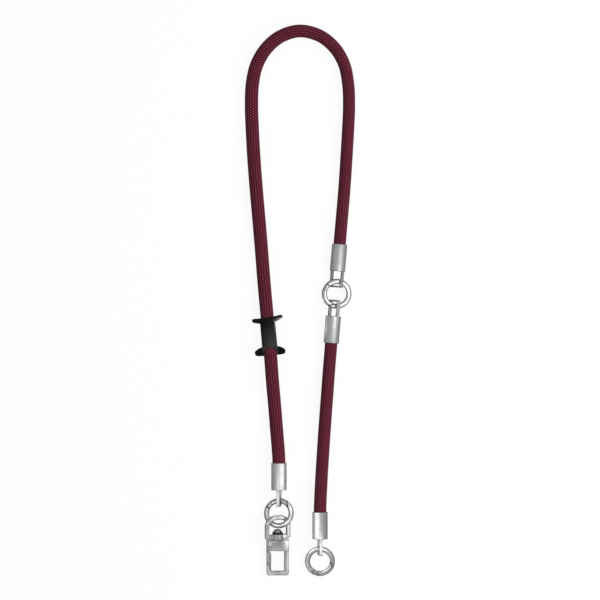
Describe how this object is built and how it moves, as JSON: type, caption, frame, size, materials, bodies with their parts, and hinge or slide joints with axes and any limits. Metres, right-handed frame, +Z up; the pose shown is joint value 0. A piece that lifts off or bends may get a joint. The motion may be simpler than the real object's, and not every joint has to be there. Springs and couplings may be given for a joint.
{
  "type": "phone crossbody strap",
  "caption": "Thick braided rope strap for carrying a phone across the body, with metal rope caps, spring-gate rings, a swivel clasp and a black rope slider, laid flat.",
  "frame": {"origin": "on the surface, under the middle of the box round the metal fittings and the slider", "axes": "+Z up from the surface the strap lies on, +Y along the strap from the clasp towards the arch of the rope, +X to the side of the short rope"},
  "size_m": [0.1049, 0.5245, 0.0146],
  "materials": {
    "braid": "matte braid",
    "satin_silver": "satin",
    "nickel": "polished",
    "dark_nickel": "polished",
    "black_rubber": "matte"
  },
  "bodies": {
    "strap": {"main_rope": "braid", "short_rope": "braid", "rope_slider": "black_rubber", "left_end_cap": "satin_silver", "upper_joint_cap": "satin_silver", "lower_joint_cap": "satin_silver", "right_end_cap": "satin_silver", "left_ring": "nickel", "left_ring_gate": "nickel", "left_ring_pin": "dark_nickel", "joint_ring": "nickel", "joint_ring_gate": "nickel", "joint_ring_pin": "dark_nickel", "right_ring": "nickel", "right_ring_pin": "dark_nickel", "clasp_loop": "nickel"},
    "ring_gate": {"right_ring_gate": "nickel"},
    "clasp": {"swivel_pin": "dark_nickel", "clasp_frame": "nickel", "clasp_gate_rivet": "dark_nickel", "clasp_frame_rivet": "dark_nickel"},
    "gate": {"clasp_gate": "nickel"}
  },
  "joints": [
    {"name": "right_ring_gate_hinge", "type": "hinge", "parent": "strap", "child": "ring_gate", "pos_m": [0.01305, -0.15489, 0.00233], "axis": [0, -0.1149, 0.9934], "range_deg": [0, 25], "stiffness_Nm_per_rad": 0.02, "springref_deg": -17.19},
    {"name": "clasp_swivel", "type": "hinge", "parent": "strap", "child": "clasp", "pos_m": [-0.023, -0.1203, 0.00657], "axis": [0, 0.9925, 0.1219], "continuous": true},
    {"name": "clasp_gate_hinge", "type": "hinge", "parent": "clasp", "child": "gate", "pos_m": [-0.03, -0.12685, 0.00577], "axis": [0, -0.1219, 0.9925], "range_deg": [0, 30], "stiffness_Nm_per_rad": 0.02, "springref_deg": -17.19}
  ]
}
